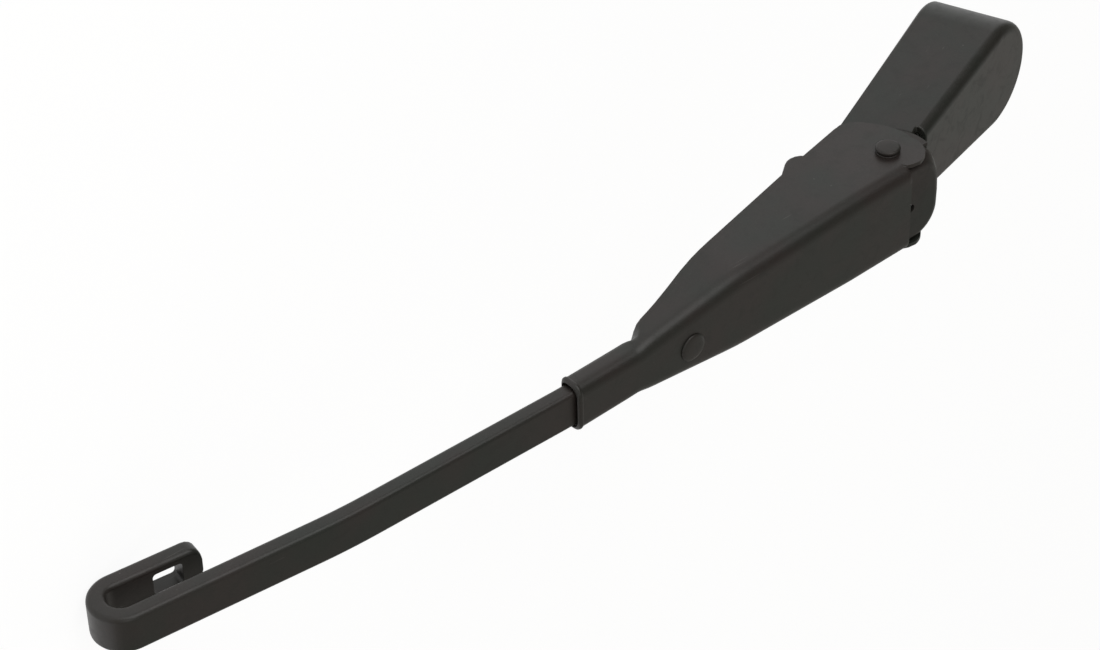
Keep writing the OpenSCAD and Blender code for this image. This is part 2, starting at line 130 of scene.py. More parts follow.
@dataclass
class NodeBench:
    """Adds nodes to one tree and wires them.

    Args:
        tree: the node tree that is being built.
    """

    tree: bpy.types.NodeTree

    def add(self, kind: str, values: dict | None = None, **settings: object) -> bpy.types.Node:
        """Adds a node.

        Args:
            kind: the node's type name.
            values: first values of its inputs, by name or number.
            settings: properties of the node itself.

        Returns:
            The new node.
        """
        node = self.tree.nodes.new(kind)
        for key, value in settings.items():
            setattr(node, key, value)
        for key, value in (values or {}).items():
            node.inputs[key].default_value = value
        return node

    def join(self, source: bpy.types.NodeSocket, target: bpy.types.NodeSocket) -> None:
        """Wires one socket to another."""
        self.tree.links.new(source, target)

    def math(self, operation: str, first: object, second: object = 0.0, third: object = 0.0,
             clamp: bool = False) -> bpy.types.NodeSocket:
        """Adds a Math node.

        Args:
            operation: the Math node's operation.
            first: a socket or a number.
            second: a socket or a number.
            third: a socket or a number, for the operations that take three.
            clamp: keeps the result within 0 and 1.

        Returns:
            The node's output socket.
        """
        node = self.add("ShaderNodeMath", operation=operation, use_clamp=clamp)
        for place, item in enumerate((first, second, third)):
            if isinstance(item, bpy.types.NodeSocket):
                self.join(item, node.inputs[place])
            else:
                node.inputs[place].default_value = item
        return node.outputs[0]

    def ramp(self, source: bpy.types.NodeSocket, low: float, high: float) -> bpy.types.NodeSocket:
        """Stretches a value between two limits to run from 0 to 1, smoothly.

        Args:
            source: the value's socket.
            low: the value that becomes 0.
            high: the value that becomes 1.

        Returns:
            The stretched value's socket.
        """
        limits = {"From Min": low, "From Max": high}
        node = self.add("ShaderNodeMapRange", limits, interpolation_type="SMOOTHSTEP")
        self.join(source, node.inputs["Value"])
        return node.outputs["Result"]

    def noise(self, kind: Noise, vector: bpy.types.NodeSocket) -> bpy.types.Node:
        """Adds a Noise Texture node.

        Args:
            kind: the noise's own values.
            vector: the coordinates that it reads.

        Returns:
            The new node.
        """
        values = {"Scale": kind.scale, "Detail": kind.detail, "Roughness": kind.roughness,
                  "Distortion": kind.distortion}
        node = self.add("ShaderNodeTexNoise", values)
        self.join(vector, node.inputs["Vector"])
        return node

    def mask(self, kind: Noise, vector: bpy.types.NodeSocket) -> bpy.types.NodeSocket:
        """Adds a noise and cuts it to its limits, as a mask."""
        return self.ramp(self.noise(kind, vector).outputs["Fac"], *kind.limits)


PEEL = Noise(900.0, 2.0, 0.55)
GRAIN = Noise(3600.0, 3.0, 0.7, (0.38, 0.66))
BROAD = Noise(30.0, 2.0, 0.5, (0.34, 0.66))
SMUDGE = Noise(165.0, 4.0, 0.62, (0.45, 0.72), 0.8)
DUST_PATCH = Noise(60.0, 3.0, 0.6, (0.45, 0.62))
DUST_SCALE = 380.0
SPECK_LIMITS = (0.11, 0.05)
SPECK_LOT = 0.86
DRAG_LINE = Noise(60.0, 2.0, 0.5, (0.70, 0.76))
DRAG_PATCH = Noise(90.0, 2.0, 0.5, (0.50, 0.64))
DRAG_SQUEEZE = (1.0, 34.0, 34.0)
OFFSET_LAY = (1.0, 0.7, -1.0)


def coat_texture_group() -> bpy.types.NodeTree:
    """Builds the powder coat's skin: an orange peel and the fine grain of its pigment.

    Returns:
        A group that puts out a height for a Bump node and a mask of the grain.
    """
    tree = shader_group("powder_coat_skin", {"Peel": 0.5, "Grain": 0.5}, ("Height", "Grain Mask"))
    bench = NodeBench(tree)
    start = tree.nodes["in"]
    end = tree.nodes["out"]
    peel = bench.noise(PEEL, start.outputs["Vector"])
    grain = bench.noise(GRAIN, start.outputs["Vector"])
    low = bench.math("MULTIPLY", peel.outputs["Fac"], start.outputs["Peel"])
    high = bench.math("MULTIPLY", grain.outputs["Fac"], start.outputs["Grain"])
    bench.join(bench.math("ADD", low, high), end.inputs["Height"])
    bench.join(bench.ramp(grain.outputs["Fac"], *GRAIN.limits), end.inputs["Grain Mask"])
    return tree


def drift_group() -> bpy.types.NodeTree:
    """Builds the slow drift of tone that handling and uneven spraying leave.

    Returns:
        A group that puts out a broad mask and a smaller, streaky one.
    """
    tree = shader_group("tone_drift", {"Scale": BROAD.scale}, ("Broad", "Smudge"))
    bench = NodeBench(tree)
    start = tree.nodes["in"]
    end = tree.nodes["out"]
    broad = bench.noise(BROAD, start.outputs["Vector"])
    smudge = bench.noise(SMUDGE, start.outputs["Vector"])
    bench.join(start.outputs["Scale"], broad.inputs["Scale"])
    finer = bench.math("MULTIPLY", start.outputs["Scale"], SMUDGE.scale / BROAD.scale)
    bench.join(finer, smudge.inputs["Scale"])
    bench.join(bench.ramp(broad.outputs["Fac"], *BROAD.limits), end.inputs["Broad"])
    bench.join(bench.ramp(smudge.outputs["Fac"], *SMUDGE.limits), end.inputs["Smudge"])
    return tree


def dust_group() -> bpy.types.NodeTree:
    """Builds the dust: a few pale specks and short fibres' ends.

    Returns:
        A group that puts out the specks' mask.
    """
    tree = shader_group("dust_specks", {"Amount": 0.5}, ("Mask",))
    bench = NodeBench(tree)
    start = tree.nodes["in"]
    end = tree.nodes["out"]
    cells = bench.add("ShaderNodeTexVoronoi", {"Scale": DUST_SCALE, "Randomness": 1.0}, feature="F1")
    lot = bench.add("ShaderNodeTexWhiteNoise", noise_dimensions="3D")
    bench.join(start.outputs["Vector"], cells.inputs["Vector"])
    bench.join(cells.outputs["Position"], lot.inputs["Vector"])
    speck = bench.ramp(cells.outputs["Distance"], *SPECK_LIMITS)
    chosen = bench.math("GREATER_THAN", lot.outputs["Value"], SPECK_LOT)
    where = bench.mask(DUST_PATCH, start.outputs["Vector"])
    mask = bench.math("MULTIPLY", bench.math("MULTIPLY", speck, chosen), where)
    bench.join(bench.math("MULTIPLY", mask, start.outputs["Amount"], clamp=True), end.inputs["Mask"])
    return tree


def scratch_group() -> bpy.types.NodeTree:
    """Builds fine drag marks that run one way.

    Returns:
        A group that puts out the marks' mask.
    """
    tree = shader_group("drag_marks", {"Amount": 0.5}, ("Mask",))
    bench = NodeBench(tree)
    start = tree.nodes["in"]
    end = tree.nodes["out"]
    squeeze = bench.add("ShaderNodeMapping")
    squeeze.inputs["Scale"].default_value = DRAG_SQUEEZE
    bench.join(start.outputs["Vector"], squeeze.inputs["Vector"])
    thin = bench.mask(DRAG_LINE, squeeze.outputs["Vector"])
    where = bench.mask(DRAG_PATCH, start.outputs["Vector"])
    mask = bench.math("MULTIPLY", thin, where)
    bench.join(bench.math("MULTIPLY", mask, start.outputs["Amount"], clamp=True), end.inputs["Mask"])
    return tree


@dataclass
class Effects:
    """The surface effects that several finishes share."""

    skin: bpy.types.NodeTree = field(default_factory=coat_texture_group)
    drift: bpy.types.NodeTree = field(default_factory=drift_group)
    dust: bpy.types.NodeTree = field(default_factory=dust_group)
    marks: bpy.types.NodeTree = field(default_factory=scratch_group)


def blank_material(name: str) -> tuple[bpy.types.Material, NodeBench, bpy.types.Node]:
    """Makes a material with one Principled shader.

    Args:
        name: the material's name.

    Returns:
        The material, a bench on its nodes and the shader node.
    """
    material = bpy.data.materials.new(name)
    material.use_nodes = True
    bench = NodeBench(material.node_tree)
    return material, bench, material.node_tree.nodes["Principled BSDF"]


def effect_node(bench: NodeBench, group: bpy.types.NodeTree, vector: bpy.types.NodeSocket,
                **values: float) -> bpy.types.Node:
    """Places a shared effect in a material.

    Args:
        bench: the bench on the material's nodes.
        group: the effect's node group.
        vector: the coordinates that the effect reads.
        values: the effect's own values, by socket name.

    Returns:
        The group node.
    """
    node = bench.add("ShaderNodeGroup", node_tree=group)
    bench.join(vector, node.inputs["Vector"])
    for key, value in values.items():
        node.inputs[key].default_value = value
    return node


def placed(bench: NodeBench, lay: Lay, offset: float = 0.0) -> bpy.types.NodeSocket:
    """Gives the object's own coordinates, turned to a pattern's lay and moved.

    Args:
        bench: the bench on the material's nodes.
        lay: the way the pattern runs.
        offset: how far the pattern is moved.

    Returns:
        The coordinates' socket.
    """
    coords = bench.add("ShaderNodeTexCoord")
    turn = bench.add("ShaderNodeMapping")
    turn.inputs["Rotation"].default_value = tuple(math.radians(-angle) for angle in lay.value)
    turn.inputs["Location"].default_value = tuple(offset * part for part in OFFSET_LAY)
    bench.join(coords.outputs["Object"], turn.inputs["Vector"])
    return turn.outputs["Vector"]


def emboss(bench: NodeBench, shader: bpy.types.Node, height: bpy.types.NodeSocket, strength: float,
           depth: float) -> None:
    """Feeds a height to the shader as a bump.

    Args:
        bench: the bench on the material's nodes.
        shader: the shader node.
        height: the height's socket.
        strength: how much of the bump shows.
        depth: how deep it is.
    """
    bump = bench.add("ShaderNodeBump", {"Strength": strength, "Distance": depth})
    bench.join(height, bump.inputs["Height"])
    bench.join(bump.outputs["Normal"], shader.inputs["Normal"])


def blend_colour(bench: NodeBench, mask: bpy.types.NodeSocket, base: object,
                 top: tuple) -> bpy.types.NodeSocket:
    """Lays a colour over another by a mask.

    Args:
        bench: the bench on the material's nodes.
        mask: how much of the top colour shows.
        base: the colour below, as a socket or a colour.
        top: the colour above.

    Returns:
        The mixed colour's socket.
    """
    mix = bench.add("ShaderNodeMix", data_type="RGBA")
    bench.join(mask, mix.inputs["Factor"])
    if isinstance(base, bpy.types.NodeSocket):
        bench.join(base, mix.inputs["A"])
    else:
        mix.inputs["A"].default_value = (*base, 1.0)
    mix.inputs["B"].default_value = (*top, 1.0)
    return mix.outputs["Result"]


@dataclass(frozen=True)
class BlackCoat:
    """Semi-matt black powder coat, lightly handled.

    Args:
        name: the material's name.
        lay: the way its drag marks run.
        dust: how much dust lies on it.
        marks: how many drag marks it has.
        offset: moves the pattern, so that no two pieces match.
        shine: the strength of its reflections.
    """

    name: str
    lay: Lay
    dust: float = 0.5
    marks: float = 0.5
    offset: float = 0.0
    colour: tuple = (0.0150, 0.0146, 0.0128)
    warm: tuple = (0.0205, 0.0152, 0.0136)
    green: tuple = (0.0128, 0.0158, 0.0124)
    pale: tuple = (0.17, 0.165, 0.155)
    pigment: tuple = (0.045, 0.045, 0.040)
    rough: float = 0.40
    shine: float = 0.42
    blotch_scale: float = 58.0
    smudge_share: float = 0.5
    pigment_share: float = 0.16
    mark_share: float = 0.35
    smudge_rough: float = 0.07
    dust_rough: float = 0.3
    peel: float = 0.55
    grain: float = 0.35
    skin_strength: float = 0.22
    skin_depth: float = 0.06 * MM

    def build(self, effects: Effects) -> bpy.types.Material:
        """Makes the material.

        Args:
            effects: the shared surface effects.

        Returns:
            The finished material.
        """
        material, bench, shader = blank_material(self.name)
        place = placed(bench, self.lay, self.offset)
        drift = effect_node(bench, effects.drift, place, Scale=self.blotch_scale)
        skin = effect_node(bench, effects.skin, place, Peel=self.peel, Grain=self.grain)
        dust = effect_node(bench, effects.dust, place, Amount=self.dust)
        marks = effect_node(bench, effects.marks, place, Amount=self.marks)
        colour = blend_colour(bench, drift.outputs["Broad"], self.warm, self.green)
        for source, share, top in ((drift.outputs["Smudge"], self.smudge_share, self.colour),
                                   (skin.outputs["Grain Mask"], self.pigment_share, self.pigment),
                                   (marks.outputs["Mask"], self.mark_share, self.pale)):
            colour = blend_colour(bench, bench.math("MULTIPLY", source, share), colour, top)
        colour = blend_colour(bench, dust.outputs["Mask"], colour, self.pale)
        bench.join(colour, shader.inputs["Base Color"])
        rough = bench.math("MULTIPLY_ADD", drift.outputs["Smudge"], self.smudge_rough, self.rough)
        rough = bench.math("MULTIPLY_ADD", dust.outputs["Mask"], self.dust_rough, rough)
        bench.join(rough, shader.inputs["Roughness"])
        shader.inputs["Specular IOR Level"].default_value = self.shine
        emboss(bench, shader, skin.outputs["Height"], self.skin_strength, self.skin_depth)
        return material


@dataclass(frozen=True)
class BareMetal:
    """Turned or drawn metal with no paint on it.

    Args:
        name: the material's name.
        colour: the clean metal's colour.
        stain: the colour of its dull patches.
        rough: the roughness where it is clean.
        lay: the way its tool marks run.
    """

    name: str
    colour: tuple
    stain: tuple
    rough: float
    lay: Lay
    stain_scale: float = 120.0
    mark_share: float = 0.4
    worn_rough: float = 0.14
    peel: float = 0.2
    grain: float = 0.6
    skin_strength: float = 0.2
    skin_depth: float = 0.04 * MM

    def build(self, effects: Effects) -> bpy.types.Material:
        """Makes the material.

        Args:
            effects: the shared surface effects.

        Returns:
            The finished material.
        """
        material, bench, shader = blank_material(self.name)
        place = placed(bench, self.lay)
        drift = effect_node(bench, effects.drift, place, Scale=self.stain_scale)
        marks = effect_node(bench, effects.marks, place, Amount=1.0)
        skin = effect_node(bench, effects.skin, place, Peel=self.peel, Grain=self.grain)
        colour = blend_colour(bench, drift.outputs["Smudge"], self.colour, self.stain)
        marked = bench.math("MULTIPLY", marks.outputs["Mask"], self.mark_share)
        bench.join(blend_colour(bench, marked, colour, self.stain), shader.inputs["Base Color"])
        rough = bench.math("MULTIPLY_ADD", drift.outputs["Broad"], self.worn_rough, self.rough)
        bench.join(rough, shader.inputs["Roughness"])
        shader.inputs["Metallic"].default_value = 1.0
        emboss(bench, shader, skin.outputs["Height"], self.skin_strength, self.skin_depth)
        return material


@dataclass(frozen=True)
class NaturalNylon:
    """Moulded nylon of the hinge washers, greyed by grease."""

    name: str = "natural_nylon"
    colour: tuple = (0.66, 0.64, 0.57)
    grease: tuple = (0.34, 0.31, 0.25)
    grease_scale: float = 140.0
    rough: float = 0.55
    grease_rough: float = -0.15
    depth_share: float = 0.12
    depth_reach: tuple = (1.0 * MM, 0.8 * MM, 0.6 * MM)
    peel: float = 0.5
    grain: float = 0.4
    skin_strength: float = 0.15
    skin_depth: float = 0.04 * MM

    def build(self, effects: Effects) -> bpy.types.Material:
        """Makes the material.

        Args:
            effects: the shared surface effects.

        Returns:
            The finished material.
        """
        material, bench, shader = blank_material(self.name)
        place = bench.add("ShaderNodeTexCoord").outputs["Object"]
        drift = effect_node(bench, effects.drift, place, Scale=self.grease_scale)
        skin = effect_node(bench, effects.skin, place, Peel=self.peel, Grain=self.grain)
        colour = blend_colour(bench, drift.outputs["Smudge"], self.colour, self.grease)
        bench.join(colour, shader.inputs["Base Color"])
        rough = bench.math("MULTIPLY_ADD", drift.outputs["Broad"], self.grease_rough, self.rough)
        bench.join(rough, shader.inputs["Roughness"])
        shader.inputs["Subsurface Weight"].default_value = self.depth_share
        shader.inputs["Subsurface Radius"].default_value = self.depth_reach
        emboss(bench, shader, skin.outputs["Height"], self.skin_strength, self.skin_depth)
        return material


def pick(piece: bpy.types.Object) -> None:
    """Selects one object alone and makes it active.

    Args:
        piece: the object.
    """
    bpy.ops.object.select_all(action="DESELECT")
    piece.select_set(True)
    bpy.context.view_layer.objects.active = piece


def edge_picker(piece: bpy.types.Object, test: Callable[[bmesh.types.BMEdge], bool]) -> None:
    """Selects, in edit mode, the edges that pass a test.

    Args:
        piece: the object that is being edited.
        test: tells whether an edge is wanted.
    """
    bpy.ops.mesh.select_mode(type="EDGE")
    bpy.ops.mesh.select_all(action="DESELECT")
    shape = bmesh.from_edit_mesh(piece.data)
    for edge in shape.edges:
        edge.select = test(edge)
    shape.select_flush_mode()
    bmesh.update_edit_mesh(piece.data)


def face_picker(piece: bpy.types.Object, test: Callable[[Vector, Vector], bool]) -> None:
    """Selects, in edit mode, the faces that pass a test on their middle and normal.

    Args:
        piece: the object that is being edited.
        test: tells from a face's middle and normal whether it is wanted.
    """
    bpy.ops.mesh.select_mode(type="FACE")
    bpy.ops.mesh.select_all(action="DESELECT")
    shape = bmesh.from_edit_mesh(piece.data)
    for face in shape.faces:
        face.select = test(face.calc_center_median(), face.normal)
    shape.select_flush_mode()
    bmesh.update_edit_mesh(piece.data)


def apply_bevel(piece: bpy.types.Object, width: float, segments: int, angle: float,
                clamp: bool = True) -> None:
    """Rounds every edge that is sharper than an angle.

    Args:
        piece: the object to round.
        width: how far the rounding reaches on each face.
        segments: how many facets it has.
        angle: the least angle of an edge, in degrees.
        clamp: keeps roundings from running into each other.
    """
    pick(piece)
    bevel = piece.modifiers.new("edge_round", "BEVEL")
    bevel.width = width
    bevel.segments = segments
    bevel.limit_method = "ANGLE"
    bevel.angle_limit = math.radians(angle)
    bevel.use_clamp_overlap = clamp
    bevel.miter_outer = "MITER_ARC"
    bpy.ops.object.modifier_apply(modifier=bevel.name)


def smooth(piece: bpy.types.Object, angle: float = SOLID_CREASE) -> None:
    """Shades a piece smooth, with its large flat faces kept flat.

    Args:
        piece: the object to shade.
        angle: the angle between two faces from which their edge stays sharp, in degrees.
    """
    pick(piece)
    bpy.ops.object.shade_smooth_by_angle(angle=math.radians(angle))
    even = piece.modifiers.new("even_normals", "WEIGHTED_NORMAL")
    even.keep_sharp = True
    even.weight = FLAT_WEIGHT
    bpy.ops.object.modifier_apply(modifier=even.name)


def seat(piece: bpy.types.Object, body: Body, slot: str, *nodes: str) -> None:
    """Hands a finished piece over: hangs it on its body and hides the nodes that it stands for.

    Args:
        piece: the finished piece.
        body: the body that it rides on.
        slot: the record's material slot; not used.
        nodes: the CAD nodes that it replaces.
    """
    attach(piece, body.value)
    if nodes:
        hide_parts(*nodes)
    log.info("%s: %d faces, on the %s", piece.name, len(piece.data.polygons), body.value)
    if len(piece.data.polygons) < FEWEST_FACES:
        log.warning("%s is nearly empty", piece.name)


def softened(node: str, name: str, width: float, rounds: int = 0) -> bpy.types.Object:
    """Copies a node's shape, merges it, rounds its edges and shades it.

    Args:
        node: the CAD node.
        name: the new piece's name.
        width: how far each rounding reaches, or 0 to leave the edges.
        rounds: levels of Subdivision Surface, for wire.

    Returns:
        The new piece.
    """
    piece = bpy.data.objects.new(name, bpy.data.objects[node].data.copy())
    bpy.context.scene.collection.objects.link(piece)
    pick(piece)
    bpy.ops.object.mode_set(mode="EDIT")
    bpy.ops.mesh.select_all(action="SELECT")
    bpy.ops.mesh.customdata_custom_splitnormals_clear()
    bpy.ops.mesh.remove_doubles(threshold=MERGE_REACH)
    bpy.ops.mesh.dissolve_degenerate(threshold=MERGE_REACH)
    if not rounds:
        bpy.ops.mesh.dissolve_limited(angle_limit=math.radians(FLAT_ANGLE))
    bpy.ops.object.mode_set(mode="OBJECT")
    if width:
        apply_bevel(piece, width, 2, SOLID_EDGE, clamp=False)
    if rounds:
        surface = piece.modifiers.new("round_wire", "SUBSURF")
        surface.levels = rounds
        surface.render_levels = rounds
        bpy.ops.object.modifier_apply(modifier=surface.name)
    smooth(piece)
    return piece


def dress(piece: bpy.types.Object, material: bpy.types.Material) -> None:
    """Gives a piece one material all over.

    Args:
        piece: a CAD node's object or a new piece.
        material: its finish.
    """
    if not piece.material_slots:
        piece.data.materials.append(material)
    for place in piece.material_slots:
        place.material = material


@dataclass
class Studio:
    """The pale floor, the soft lamps and the camera."""

    floor_gap: float = 0.0006
    floor_size: float = 9.0
    floor_white: float = 0.86
    floor_middle: tuple = (0.1, 0.0)
    floor_glow: float = 1.09
    floor_glow_share: float = 0.84
    target: tuple = (0.12517, 0.0, -0.02970)
    camera_turn: float = -43.003
    camera_rise: float = 22.288
    camera_roll: float = 107.729
    camera_reach: float = 0.72930
    lens: float = 112.94
    sensor: float = 36.0
    view_range: tuple = (0.05, 60.0)
    fill_level: float = 0.42
    fill_tint: tuple = (1.0, 0.975, 0.90)
    opening: tuple = (-0.62, -0.42, 0.66)
    opening_level: float = 0.10
    opening_core: float = 20.0
    opening_wide: float = 56.0
    lamp_aim: tuple = (0.1, 0.0, -0.01)
    lamps: tuple = (("overhead_softbox", (0.15, -1.3, 0.55), 1.1, 9.0),
                    ("front_softbox", (1.1, -0.5, 0.9), 0.8, 2.2),
                    ("back_softbox", (-0.9, 0.5, 0.9), 0.8, 0.5))

    def camera(self) -> None:
        """Places the camera as the photograph was taken."""
        turn = math.radians(self.camera_turn)
        rise = math.radians(self.camera_rise)
        level_out = math.cos(rise)
        out = Vector((math.cos(turn) * level_out, math.sin(turn) * level_out, math.sin(rise)))
        data = bpy.data.cameras.new("camera")
        data.lens = self.lens
        data.sensor_width = self.sensor
        data.sensor_fit = "HORIZONTAL"
        data.clip_start = self.view_range[0]
        data.clip_end = self.view_range[1]
        camera = bpy.data.objects.new("camera", data)
        level = Euler((math.pi / 2 - rise, 0.0, turn + math.pi / 2)).to_matrix()
        rolled = level @ Euler((0.0, 0.0, math.radians(self.camera_roll))).to_matrix()
        camera.matrix_world = rolled.to_4x4()
        camera.location = Vector(self.target) + out * self.camera_reach
        bpy.context.scene.collection.objects.link(camera)
        bpy.context.scene.camera = camera

    def seen_by_eye(self, bench: NodeBench) -> bpy.types.NodeSocket:
        """Adds the Light Path test for rays that reach the eye, straight or by gloss or glass.

        Args:
            bench: the bench on the material's or the world's nodes.

        Returns:
            A socket that is 1 for such rays.
        """
        path = bench.add("ShaderNodeLightPath")
        first = bench.math("MAXIMUM", path.outputs["Is Camera Ray"], path.outputs["Is Glossy Ray"])
        return bench.math("MAXIMUM", first, path.outputs["Is Transmission Ray"])

    def floor(self) -> None:
        """Lays the white floor just under the lowest piece."""
        low = CAD_BOX[0][2] - self.floor_gap
        bpy.ops.object.select_all(action="DESELECT")
        bpy.ops.mesh.primitive_plane_add(size=self.floor_size, location=(*self.floor_middle, low))
        floor = bpy.context.object
        floor.name = "studio_floor"
        material = bpy.data.materials.new("floor_white")
        material.use_nodes = True
        bench = NodeBench(material.node_tree)
        bench.tree.nodes.remove(bench.tree.nodes["Principled BSDF"])
        white = self.floor_white
        diffuse = bench.add("ShaderNodeBsdfDiffuse", {"Color": (white, white, white, 1.0)})
        glow = bench.add("ShaderNodeEmission", {"Color": (1.0, 1.0, 1.0, 1.0), "Strength": self.floor_glow})
        mix = bench.add("ShaderNodeMixShader")
        share = bench.math("MULTIPLY", self.seen_by_eye(bench), self.floor_glow_share)
        bench.join(share, mix.inputs["Fac"])
        bench.join(diffuse.outputs[0], mix.inputs[1])
        bench.join(glow.outputs[0], mix.inputs[2])
        bench.join(mix.outputs[0], bench.tree.nodes["Material Output"].inputs["Surface"])
        dress(floor, material)

    def tent(self, bench: NodeBench) -> bpy.types.NodeSocket:
        """Shades the tent's fabric: pale all round, with a dark opening above and to one side.

        Args:
            bench: the bench on the world's nodes.

        Returns:
            The strength of the fill in each direction.
        """
        coords = bench.add("ShaderNodeTexCoord")
        aim = bench.add("ShaderNodeVectorMath", operation="DOT_PRODUCT")
        bench.join(coords.outputs["Generated"], aim.inputs[0])
        aim.inputs[1].default_value = Vector(self.opening).normalized()
        edge = math.cos(math.radians(self.opening_wide))
        core = math.cos(math.radians(self.opening_core))
        shade = bench.ramp(aim.outputs["Value"], edge, core)
        return bench.math("MULTIPLY_ADD", shade, self.opening_level - self.fill_level, self.fill_level)

    def world(self) -> None:
        """Sets a white backdrop and an even, soft fill."""
        world = bpy.data.worlds.new("soft_tent")
        world.use_nodes = True
        bench = NodeBench(world.node_tree)
        background = world.node_tree.nodes["Background"]
        mix = bench.add("ShaderNodeMix", data_type="FLOAT")
        path = bench.add("ShaderNodeLightPath")
        bench.join(path.outputs["Is Camera Ray"], mix.inputs["Factor"])
        bench.join(self.tent(bench), mix.inputs["A"])
        mix.inputs["B"].default_value = 1.0
        bench.join(mix.outputs["Result"], background.inputs["Strength"])
        tint = blend_colour(bench, path.outputs["Is Camera Ray"], self.fill_tint, (1.0, 1.0, 1.0))
        bench.join(tint, background.inputs["Color"])
        bpy.context.scene.world = world

    def lamp(self, name: str, place: tuple, size: float, power: float) -> None:
        """Hangs one soft square lamp, turned to the arm.

        Args:
            name: the lamp's name.
            place: where it hangs.
            size: the length of its sides.
            power: its power in watts.
        """
        data = bpy.data.lights.new(name, "AREA")
        data.size = size
        data.energy = power
        lamp = bpy.data.objects.new(name, data)
        lamp.location = place
        aim = Vector(self.lamp_aim) - Vector(place)
        lamp.rotation_euler = aim.to_track_quat("-Z", "Y").to_euler()
        bpy.context.scene.collection.objects.link(lamp)

    def build(self) -> None:
        """Sets up the whole studio."""
        self.camera()
        self.floor()
        self.world()
        for name, place, size, power in self.lamps:
            self.lamp(name, place, size, power)
        bpy.context.scene.view_settings.view_transform = "Standard"
        log.info("studio: camera, floor, world and %d lamps", len(self.lamps))


@dataclass
class HeadGroup:
    """The die cast head with its bush, clip, pins and washers."""

    casting_round: float = 0.35 * MM
    hood_room: float = 12.55 * MM
    room_reach: float = 0.35 * MM
    least_facing: float = 0.9
    roof_half: float = 3.0 * MM
    wall_reach: float = 1.0 * MM
    roof_reach: float = 0.6 * MM
    fitting_round: float = 0.18 * MM
    fittings: dict[str, tuple[str, str]] = field(default_factory=lambda: {
        "spline_bush": ("turned_steel", "bare_steel"),
        "retaining_clip": ("spring_steel", "spring_steel"),
        "hinge_bush": ("bush_brass", "brass_bush"),
        "anchor_pin": ("turned_steel", "bare_steel"),
        "left_washer": ("natural_nylon", "nylon"),
        "right_washer": ("natural_nylon", "nylon")})

    def faces_hood(self, middle: Vector, normal: Vector) -> bool:
        """Tells whether a face belongs to the round cut in which the hood swings.

        Args:
            middle: the face's middle.
            normal: its normal.

        Returns:
            Whether it lies on the cut and looks at the hinge.
        """
        away = Vector((middle.x - HINGE.x, 0.0, middle.z - HINGE.z))
        on_cut = abs(away.length - self.hood_room) < self.room_reach
        return on_cut and away.normalized().dot(normal) < -self.least_facing

    def draw_in(self, piece: bpy.types.Object, roof: bool, reach: float) -> None:
        """Draws part of the hood's cut in towards the hinge.

        Args:
            piece: the casting, in edit mode.
            roof: whether it is the roof's part and not the walls'.
            reach: how much nearer to the hinge it comes.
        """
        face_picker(piece, lambda middle, normal: self.faces_hood(middle, normal)
                    and (abs(middle.y) < self.roof_half) == roof)
        share = 1.0 - reach / self.hood_room
        bpy.ops.transform.resize(value=(share, 1.0, share), center_override=tuple(HINGE))

    def casting(self, finish: bpy.types.Material) -> None:
        """Makes the casting: the rim round the hood drawn in, and every edge rounded as a mould leaves it.

        Args:
            finish: the head's coat.
        """
        piece = softened("mounting_head", "head_casting", 0.0)
        pick(piece)
        bpy.ops.object.mode_set(mode="EDIT")
        self.draw_in(piece, False, self.wall_reach)
        self.draw_in(piece, True, self.roof_reach)
        bpy.ops.object.mode_set(mode="OBJECT")
        apply_bevel(piece, self.casting_round, 3, SOLID_EDGE, clamp=False)
        smooth(piece)
        dress(piece, finish)
        seat(piece, Body.HEAD, "black_paint", "mounting_head")

    def build(self, finishes: dict[str, bpy.types.Material]) -> None:
        """Builds and dresses the head's pieces.

        Args:
            finishes: every material by its name.
        """
        self.casting(finishes["head_coat"])
        for node, (finish, slot) in self.fittings.items():
            piece = softened(node, node + "_turned", self.fitting_round)
            dress(piece, finishes[finish])
            seat(piece, Body.HEAD, slot, node)


def arc_points(centre: tuple[float, float], radius: float, first: float, last: float,
               steps: int) -> list[tuple[float, float]]:
    """Walks round an arc in a plane.

    Args:
        centre: the arc's middle.
        radius: its radius.
        first: the angle of the first point, in degrees.
        last: the angle of the last point, in degrees.
        steps: how many parts the arc has.

    Returns:
        The points, both ends included.
    """
    angles = [math.radians(first + (last - first) * step / steps) for step in range(steps + 1)]
    return [(centre[0] + radius * math.cos(angle), centre[1] + radius * math.sin(angle)) for angle in angles]


def between(table: tuple, place: float) -> float:
    """Reads a table of places and values, with a straight run from each place to the next.

    Args:
        table: pairs of a place and a value, in rising order.
        place: where the table is read.

    Returns:
        The value there.
    """
    for (low, first), (high, last) in zip(table, table[1:]):
        if place <= high:
            share = max(0.0, (place - low) / (high - low))
            return first + (last - first) * share
    return table[-1][1]


def trace(points: list[Vector], closed: bool) -> None:
    """Draws a wire in edit mode: one corner is set down and then drawn out from point to point.

    Args:
        points: where the wire runs.
        closed: whether its last corner is tied to its first.
    """
    bpy.ops.mesh.select_all(action="DESELECT")
    bpy.ops.mesh.primitive_plane_add(size=SEED_SIZE, location=points[0])
    bpy.ops.mesh.merge(type="CENTER")
    for here, there in zip(points, points[1:]):
        bpy.ops.mesh.extrude_vertices_move(TRANSFORM_OT_translate={"value": there - here})
    if closed:
        shape = bmesh.from_edit_mesh(bpy.context.object.data)
        shape.verts.ensure_lookup_table()
        ends = (shape.verts[-len(points)], shape.verts[-1])
        for corner in shape.verts:
            corner.select = corner in ends
        shape.select_flush_mode()
        bmesh.update_edit_mesh(bpy.context.object.data)
        bpy.ops.mesh.edge_face_add()


def rows_of(edge: bmesh.types.BMEdge, count: int) -> set[int]:
    """Tells which wires an edge's corners belong to, where each wire has so many points."""
    return {corner.index // count for corner in edge.verts}


